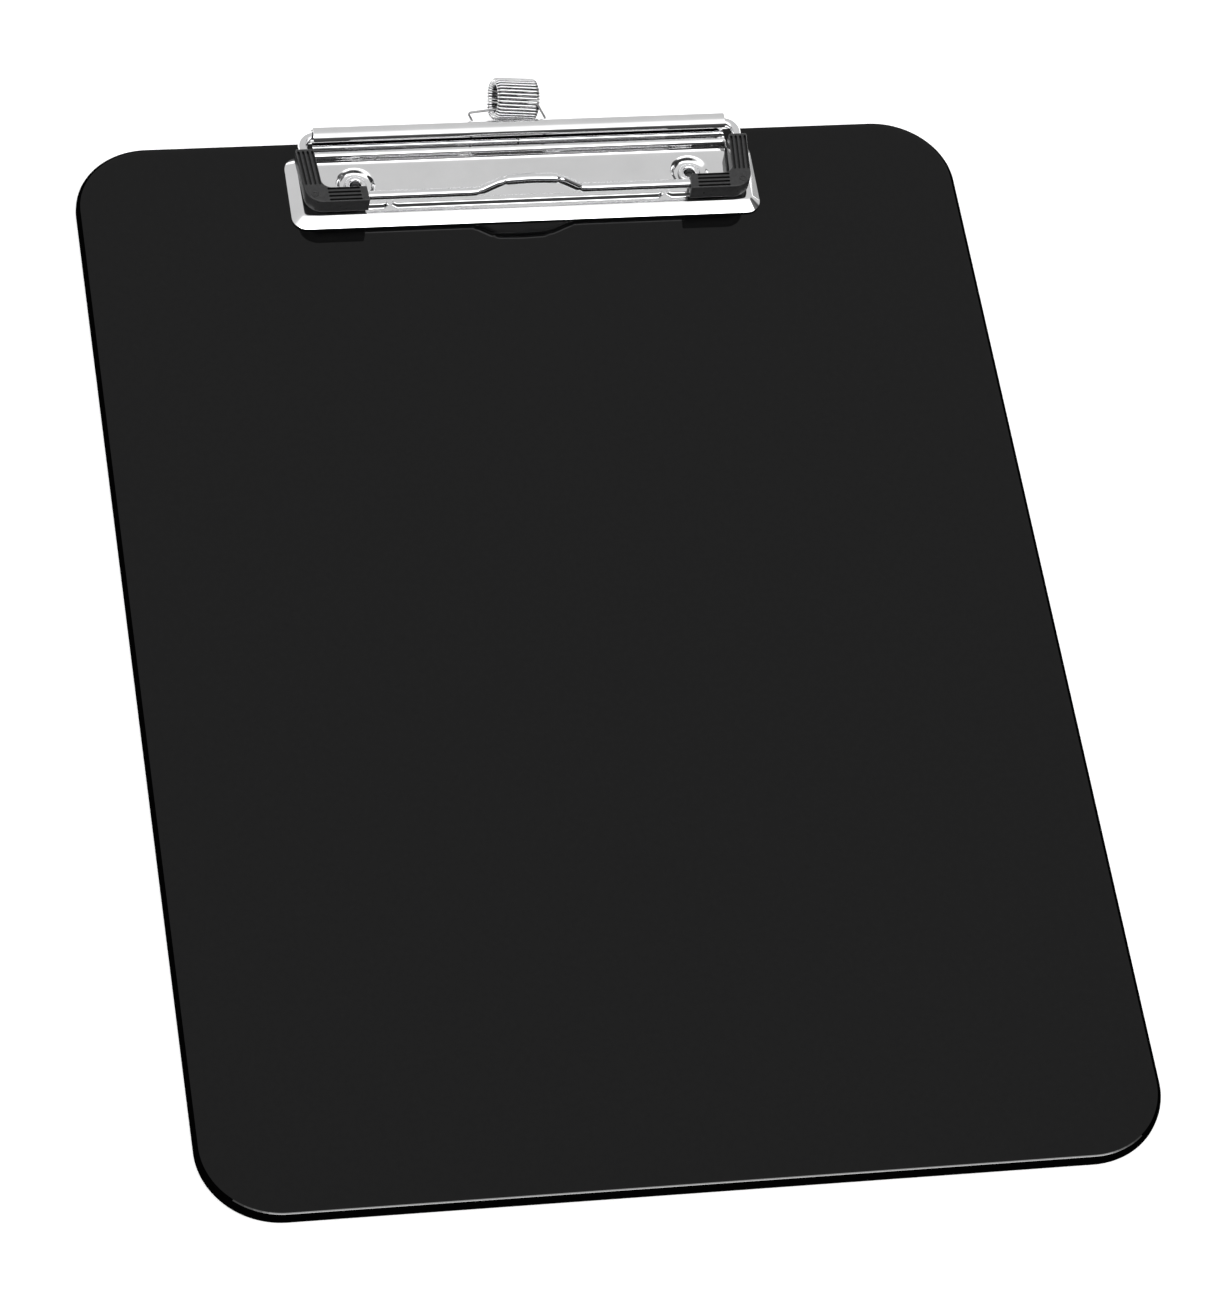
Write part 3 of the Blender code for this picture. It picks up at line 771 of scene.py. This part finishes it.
def border_rings(xs, ys):
    """Rings of points that follow the plate's outline, from its rim in to the middle's edge."""
    corner = PLATE_CORNER
    front, rear = PLATE_LOW.y, PLATE_REAR_Y
    end_x = PLATE_END_X
    inner_x = end_x - corner
    rings = []
    for inset in mesh_lines(((0, BORDER_SPACING), (corner, 0))):
        sides = (
            ([(x, front + inset) for x in xs], inner_x, front + corner, -90),
            ([(end_x - inset, y) for y in ys], inner_x, rear - corner, 0),
            ([(x, rear - inset) for x in reversed(xs)], -inner_x, rear - corner, 90),
            ([(-end_x + inset, y) for y in reversed(ys)], -inner_x, front + corner, 180),
        )
        ring = []
        for run, centre_x, centre_y, start in sides:
            ring += run
            ring += arc(centre_x, centre_y, corner - inset, start, start + 90, steps=10)[1:-1]
        rings.append([plate_point(x, y, inset) for x, y in ring])
    return rings


def is_cut_away(middle):
    """Whether a face with this middle lies in a rivet hole or where the step and roll go."""
    in_hole = math.hypot(abs(middle.x) - RIVET_X, middle.y - RIVET_Y) < PLATE_HOLE_RADIUS
    under_roll = abs(middle.x) < ROLL_END_X and middle.y > STEP_FOOT_Y
    return in_hole or under_roll


def make_plate(material):
    """The pressed sheet: a flat middle, a sloping border, and the step, ledge and roll behind."""
    xs, ys = plate_lines()
    bm = bmesh.new()
    skin_grid(bm, [[bm.verts.new(plate_point(x, y, PLATE_CORNER)) for y in ys] for x in xs])
    skin_rings(bm, border_rings(xs, ys), close=False)
    gone = [face for face in bm.faces if is_cut_away(face.calc_center_median())]
    bmesh.ops.delete(bm, geom=gone, context="FACES")
    section = roll_section()
    roll_xs = [x for x in xs if abs(x) <= ROLL_END_X + SLACK]
    skin_grid(bm, [[bm.verts.new((x, y, z)) for y, z in section] for x in roll_xs])
    bmesh.ops.remove_doubles(bm, verts=bm.verts, dist=1e-6)
    plate = add_object("pressed_clip_plate", mesh_from(bm, "pressed_clip_plate"), material)
    if max(plate.data.polygons, key=lambda face: face.area).normal.z < 0:
        plate.data.flip_normals()
    thickness = plate.modifiers.new("sheet", "SOLIDIFY")
    thickness.thickness = SHEET_THICKNESS
    thickness.offset = -1
    apply_modifiers(plate)
    plate.data.set_sharp_from_angle(angle=math.radians(55))
    return plate


# ------------------------------------------------------------- bail and pads


def make_bail(material):
    """The closed wire frame, with the arch in its bar and the marks of the press at its bends."""
    z = HINGE.z
    crown = ((0, BAR_Y, z + ARCH_RISE + ARCH_CROWN), ARCH_CROWN_BEND)
    half = (
        ((ARCH_TOP_X, BAR_Y, z + ARCH_RISE), ARCH_BEND),
        ((ARCH_FOOT_X, BAR_Y, z), ARCH_BEND),
        ((ARM_X, BAR_Y, z), FRONT_BEND),
        ((ARM_X + ARM_SPLAY, HINGE.y, z), LEG_BEND),
        ((LEG_END_GAP / 2, HINGE.y, z), 0),
    )
    mirrored = [((-x, y, z), bend) for (x, y, z), bend in reversed(half)]
    path = bent_path(mirrored + [crown] + list(half), steps=18)
    bail = wire_object("bail_spring_wire", [path], WIRE_RADIUS, material, resolution=12)
    for point in bail.data.splines[0].points:
        across = abs(point.co.x)
        if point.co.y < BAR_Y + BAR_REACH and across < ARCH_FOOT_X + ARCH_FOOT_REACH:
            at_crown = 1 - smoothstep(ARCH_TOP_X - CROWN_SWELL_FADE, ARCH_TOP_X, across)
            point.radius += CROWN_SWELL * at_crown
            for mark in (ARCH_TOP_X, ARCH_FOOT_X):
                away = (across - mark) / PRESS_MARK_SPREAD
                point.radius -= PRESS_MARK_DEPTH * math.exp(-(away**2))
    return bail


def splayed(side, x, y):
    """A point of an upright pad moved out as far as the bail's arm splays there."""
    return side * (x + ARM_SPLAY * (y - BAR_Y) / (HINGE.y - BAR_Y)), y


def pad_outline(side):
    """The L of a pad seen from above, with its two bends rounded."""
    outer = ARM_X + PAD_WIDTH / 2
    inner = ARM_X - PAD_WIDTH / 2
    front = PAD_LOW.y
    rear = front + PAD_WIDTH
    small, large = PAD_INNER_CORNER, PAD_CORNER
    round_inner = arc(inner - small, rear + small, small, 0, -90, steps=12)
    round_outer = arc(outer - large, front + large, large, -90, 0, steps=16)
    outline = [(outer, PAD_HIGH.y), (inner, PAD_HIGH.y)]
    outline += round_inner + [(PAD_END_X, rear), (PAD_END_X, front)] + round_outer
    return [splayed(side, x, y) for x, y in outline]


def groove_tool(side, low_x, high_x, low_y, high_y):
    """The two rings of a round-ended slot that reaches from inside the pad to over its top."""
    radius = GROOVE_WIDTH / 2
    if high_x - low_x > high_y - low_y:
        y = (low_y + high_y) / 2
        outline = arc(high_x - radius, y, radius, -90, 90, steps=6)
        outline += arc(low_x + radius, y, radius, 90, 270, steps=6)
    else:
        x = (low_x + high_x) / 2
        outline = arc(x, low_y + radius, radius, 180, 360, steps=6)
        outline += arc(x, high_y - radius, radius, 0, 180, steps=6)
    top = PAD_HIGH.z
    rings = []
    for height in (top - GROOVE_DEPTH, top + CUT_OVERSHOOT):
        rings.append([(*splayed(side, x, y), height) for x, y in outline])
    return rings


def make_pad(name, side, material):
    """An L-shaped pad over a corner of the bail, with grooves along both of its arms."""
    bm = bmesh.new()
    outline = pad_outline(side)
    skin_rings(bm, [[(x, y, z) for x, y in outline] for z in (PAD_LOW.z, PAD_HIGH.z)])
    pad = add_object(name, mesh_from(bm, name), material)
    edges = pad.modifiers.new("rounded", "BEVEL")
    edges.width = PAD_EDGE_ROUNDING
    edges.segments = 3
    edges.limit_method = "ANGLE"
    edges.angle_limit = math.radians(40)
    apply_modifiers(pad)
    tool = bmesh.new()
    front = PAD_LOW.y
    front_run = (PAD_END_X + SMOOTH_FRONT_END, ARM_X + PAD_WIDTH / 2 - SMOOTH_CORNER_X)
    arm_run = (front + SMOOTH_CORNER_Y, PAD_HIGH.y - SMOOTH_REAR_END)
    half = GROOVE_WIDTH / 2
    for index in range(GROOVES):
        shift = (index - (GROOVES - 1) / 2) * GROOVE_SPACING
        y = front + PAD_WIDTH / 2 + shift
        skin_rings(tool, groove_tool(side, *front_run, y - half, y + half))
        x = ARM_X + shift
        skin_rings(tool, groove_tool(side, x - half, x + half, *arm_run))
    subtract(pad, tool)
    pad.data.set_sharp_from_angle(angle=math.radians(38))
    return pad


def make_gate_mark(name, side, material):
    """The raised ring left where the pad's mould was filled."""
    x, y = splayed(side, GATE_MARK_X, GATE_MARK_Y)
    profile = [(radius * MM, PAD_HIGH.z + height * MM) for radius, height in GATE_MARK_SECTION]
    return add_object(name, mesh_from(turned(profile, x, y, segments=32), name), material)


# ------------------------------------------------------------ rivets, washers


def make_rivet(name, side, material):
    """A tubular rivet: rolled head above, straight barrel and the flare over its washer."""
    bore, barrel = BORE_RADIUS, BARREL_RADIUS
    low = RIVET_LOW.z
    lip = HEAD_LIP_RADIUS
    lip_z = RIVET_HIGH.z - lip
    head = arc(bore + lip, lip_z, lip, 180, 0, steps=14)
    head += [(bore + 2 * lip + HEAD_SKIRT_FLARE, lip_z - HEAD_SKIRT_DROP)]
    head += [(barrel, lip_z - HEAD_UNDERSIDE_DROP)]
    flare_top = low + FLARE_THICKNESS
    half = FLARE_THICKNESS / 2
    tail = [(barrel, flare_top), (barrel + FLARE_REACH, flare_top)]
    tail += arc(barrel + FLARE_REACH, low + half, half, 90, -90, steps=6)
    tail += [(barrel, low), (bore + TAIL_MOUTH_WIDTH, low + TAIL_MOUTH_RISE), (bore, flare_top)]
    rivet = add_object(name, mesh_from(turned(head + tail, side * RIVET_X, RIVET_Y), name), material)
    rivet.data.set_sharp_from_angle(angle=math.radians(50))
    return rivet


def make_washer(name, side, material):
    """A flat ring with its outer edges bevelled."""
    low, high = WASHER_LOW.z, WASHER_HIGH.z
    inner = RIVET_HOLE_RADIUS
    outer = (WASHER_HIGH.x - WASHER_LOW.x) / 2
    bevel = WASHER_BEVEL
    profile = [(inner, low), (outer - bevel, low), (outer, low + bevel), (outer, high - bevel)]
    profile += [(outer - bevel, high), (inner, high)]
    washer = add_object(name, mesh_from(turned(profile, side * RIVET_X, RIVET_Y), name), material)
    washer.data.set_sharp_from_angle(angle=math.radians(30))
    return washer


# ------------------------------------------------------------------ pen holder


def coil_point(turn_share, ring_share):
    """A point of the coil: ring_share goes round the ring, turn_share round one long flat turn."""
    radial = (COIL_OUTER_RADIUS - COIL_INNER_RADIUS) / 2 - COIL_WIRE_RADIUS
    middle = (COIL_OUTER_RADIUS + COIL_INNER_RADIUS) / 2
    straight = COIL_LENGTH - 2 * (radial + COIL_WIRE_RADIUS)
    bend = math.pi * radial
    travel = turn_share * 2 * (straight + bend)
    if travel < straight:
        x, r = travel - straight / 2, radial
    elif travel < straight + bend:
        angle = (travel - straight) / radial
        x, r = straight / 2 + radial * math.sin(angle), radial * math.cos(angle)
    elif travel < 2 * straight + bend:
        x, r = straight / 2 - (travel - straight - bend), -radial
    else:
        angle = (travel - 2 * straight - bend) / radial
        x, r = -straight / 2 - radial * math.sin(angle), -radial * math.cos(angle)
    around = math.radians(COIL_START) + math.tau * ring_share
    out = middle + r
    place = Vector((x, out * math.cos(around), out * math.sin(around)))
    yaw = Matrix.Rotation(math.radians(COIL_YAW), 3, "Z")
    roll = Matrix.Rotation(math.radians(COIL_ROLL), 3, "Y")
    return Vector((COIL_X, COIL_Y, COIL_Z)) + yaw @ roll @ place


def make_pen_holder(material):
    """The close-wound coil, bent into a ring."""
    path = []
    for i in range(COIL_TURNS * COIL_POINTS_PER_TURN):
        share = (i / COIL_POINTS_PER_TURN) % 1
        if share < OUTER_RUN:
            advance = OUTER_ADVANCE * share / OUTER_RUN
        else:
            advance = OUTER_ADVANCE + (1 - OUTER_ADVANCE) * (share - OUTER_RUN) / (1 - OUTER_RUN)
        path.append(coil_point(share, (i // COIL_POINTS_PER_TURN + advance) / COIL_TURNS))
    return wire_object("pen_holder_coil", [path], COIL_WIRE_RADIUS, material, resolution=3)


def make_legs(material):
    """The coil's two ends, which run forward and down into the plate's rolled edge."""
    root_out = COIL_LENGTH / 2 - LEG_ROOT_INSET
    left = [
        ((COIL_X - root_out, LEG_ROOT_Y, LEFT_ROOT_Z), 0),
        ((LEFT_KNEE_X, KNEE_Y, KNEE_Z), KNEE_BEND),
        ((LEFT_ELBOW_X, ELBOW_Y, HINGE.z), ELBOW_BEND),
        ((LEFT_ELBOW_X, LEG_TIP_Y, HINGE.z), 0),
    ]
    right = [
        ((COIL_X + root_out, LEG_ROOT_Y, RIGHT_ROOT_Z), 0),
        ((RIGHT_ELBOW_X, ELBOW_Y, HINGE.z), ELBOW_BEND),
        ((RIGHT_ELBOW_X, LEG_TIP_Y, HINGE.z), 0),
    ]
    paths = [bent_path(leg, steps=8) for leg in (left, right)]
    return wire_object("pen_holder_legs", paths, LEG_WIRE_RADIUS, material, resolution=4)


# ----------------------------------------------------------------- the clipboard


def build():
    """Make the pieces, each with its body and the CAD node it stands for."""
    looks = make_materials()
    board = make_board(looks["board"])
    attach(board, "board_and_plate")
    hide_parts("board")

    plate = make_plate(looks["plate"])
    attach(plate, "board_and_plate")
    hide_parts("clip_plate")

    bail = make_bail(looks["bail"])
    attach(bail, "bail")
    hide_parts("bail_wire")

    coil = make_pen_holder(looks["spring"])
    legs = make_legs(looks["leg"])
    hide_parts("pen_holder_spring")
    for piece in (coil, legs):
        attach(piece, "pen_holder")

    for word, side in (("left", -1), ("right", 1)):
        pad = make_pad(f"pad_{word}", side, looks["pad"])
        mark = make_gate_mark(f"pad_gate_mark_{word}", side, looks["pad"])
        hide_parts(f"corner_pad_{word}")
        for piece in (pad, mark):
            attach(piece, "bail")
        rivet = make_rivet(f"eyelet_{word}", side, looks["rivet"])
        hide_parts(f"rivet_{word}")
        washer = make_washer(f"washer_{word}", side, looks["washer"])
        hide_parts(f"rivet_washer_{word}")
        for piece in (rivet, washer):
            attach(piece, "board_and_plate")


# ----------------------------------------------------------------------- studio


def separated(tree, output):
    """The x, y and z of one of the texture coordinates."""
    coordinates = tree.nodes.new("ShaderNodeTexCoord")
    split = tree.nodes.new("ShaderNodeSeparateXYZ")
    tree.links.new(coordinates.outputs[output], split.inputs["Vector"])
    return split.outputs


def make_floor():
    """A pale disc that glows a little, but not where the board covers it."""
    bm = bmesh.new()
    bmesh.ops.create_circle(bm, cap_ends=True, segments=96, radius=FLOOR_RADIUS)
    mesh = mesh_from(bm, "studio_floor")
    if mesh.polygons[0].normal.z < 0:
        mesh.flip_normals()
    material, tree, shader = new_material("pale_floor")
    tree.links.new(tint(tree, noise(tree, 3, 2), FLOOR_TINTS), shader.inputs["Base Color"])
    shader.inputs["Roughness"].default_value = 0.9
    shader.inputs["Specular IOR Level"].default_value = 0
    shader.inputs["Emission Color"].default_value = (1, 1, 1, 1)
    x, y, _ = separated(tree, "Object")
    # The unlit rectangle is narrower than the board, so that its corners stay under the board
    straight_half = BOARD_HIGH.x - BOARD_CORNER_RADIUS
    past_side = math_node(tree, "SUBTRACT", math_node(tree, "ABSOLUTE", x), straight_half)
    past_end = math_node(tree, "SUBTRACT", math_node(tree, "ABSOLUTE", y), BOARD_HIGH.y)
    past = math_node(tree, "MAXIMUM", past_side, past_end)
    uncovered = math_node(tree, "GREATER_THAN", past, -GLOW_UNDERLAP)
    glow = math_node(tree, "MULTIPLY", uncovered, FLOOR_GLOW)
    tree.links.new(glow, shader.inputs["Emission Strength"])
    floor = add_object("studio_floor", mesh, material, 0)
    floor.location.z = -FLOOR_DROP


def band(tree, socket, centre, half_width, softness):
    """1 where the socket is within half_width of the centre, falling to 0 over the softness."""
    made = tree.nodes.new("ShaderNodeMapRange")
    made.interpolation_type = "SMOOTHSTEP"
    made.inputs["From Min"].default_value = half_width + softness
    made.inputs["From Max"].default_value = half_width
    away = math_node(tree, "ABSOLUTE", math_node(tree, "SUBTRACT", socket, centre))
    tree.links.new(away, made.inputs["Value"])
    return made.outputs["Result"]


def sky_light(tree, pitch):
    """The sky's radiance by pitch, as a share of a half turn."""
    ramp = tree.nodes.new("ShaderNodeValToRGB")
    stops = ramp.color_ramp.elements
    for degrees, _ in SKY_STOPS[1:-1]:
        stops.new(degrees / 180)
    for stop, (degrees, radiance) in zip(stops, SKY_STOPS):
        share = radiance / SKY_WHITE
        stop.position = degrees / 180
        stop.color = (share, share, share, 1)
    tree.links.new(pitch, ramp.inputs["Fac"])
    return math_node(tree, "MULTIPLY", ramp.outputs["Color"], SKY_WHITE)


def make_world():
    """Soft studio light by pitch, the angle from the front horizon over the top to the back one.

    It is dark low in front, white over the front half and pale grey overhead and behind, with a
    brighter strip in the white part and a shaded right side. The backdrop itself is plain white.
    """
    world = bpy.data.worlds.new("studio")
    world.use_nodes = True
    bpy.context.scene.world = world
    tree = world.node_tree
    x, y, z = separated(tree, "Generated")
    forward = math_node(tree, "MULTIPLY", y, -1)
    pitch = math_node(tree, "DIVIDE", math_node(tree, "ARCTAN2", z, forward), math.pi)

    strip_pitch = band(tree, pitch, KEY_PITCH / 180, KEY_HALF_HEIGHT / 180, KEY_PITCH_SOFTNESS / 180)
    strip_across = band(tree, x, KEY_ACROSS, KEY_HALF_WIDTH, KEY_ACROSS_SOFTNESS)
    strip = math_node(tree, "MULTIPLY", strip_pitch, strip_across)
    key = math_node(tree, "MULTIPLY", strip, KEY_RADIANCE)
    light = math_node(tree, "ADD", sky_light(tree, pitch), key)
    beside = math_node(tree, "MULTIPLY", band(tree, x, *SIDE_ACROSS), band(tree, y, *SIDE_ALONG))
    shade = math_node(tree, "MULTIPLY", beside, SIDE_SHADE)
    shaded = math_node(tree, "MULTIPLY", light, math_node(tree, "SUBTRACT", 1, shade))

    seen = tree.nodes.new("ShaderNodeLightPath").outputs["Is Camera Ray"]
    unseen = math_node(tree, "SUBTRACT", 1, seen)
    strength = math_node(tree, "ADD", math_node(tree, "MULTIPLY", shaded, unseen), seen)
    background = tree.nodes["Background"]
    background.inputs["Color"].default_value = (1, 1, 1, 1)
    tree.links.new(strength, background.inputs["Strength"])


def make_camera():
    """A long lens in front, high up and slightly rolled."""
    azimuth = math.radians(CAMERA_AZIMUTH)
    elevation = math.radians(CAMERA_ELEVATION)
    roll = math.radians(CAMERA_ROLL)
    flat = math.cos(elevation)
    back = Vector((math.sin(azimuth) * flat, -math.cos(azimuth) * flat, math.sin(elevation)))
    level = Vector((math.cos(azimuth), math.sin(azimuth), 0))
    upright = back.cross(level)
    right = level * math.cos(roll) + upright * math.sin(roll)
    up = back.cross(right)
    data = bpy.data.cameras.new("camera")
    data.sensor_fit = "VERTICAL"
    data.sensor_height = SENSOR_HEIGHT
    data.lens = FOCAL_LENGTH
    data.clip_end = CAMERA_REACH
    camera = bpy.data.objects.new("camera", data)
    axes = Matrix((right, up, back)).transposed().to_4x4()
    camera.matrix_world = Matrix.Translation(CAMERA_AIM + back * CAMERA_DISTANCE) @ axes
    bpy.context.scene.collection.objects.link(camera)
    bpy.context.scene.camera = camera


build()
make_floor()
make_world()
make_camera()
bpy.context.scene.view_settings.view_transform = "Standard"

bpy.context.view_layer.update()
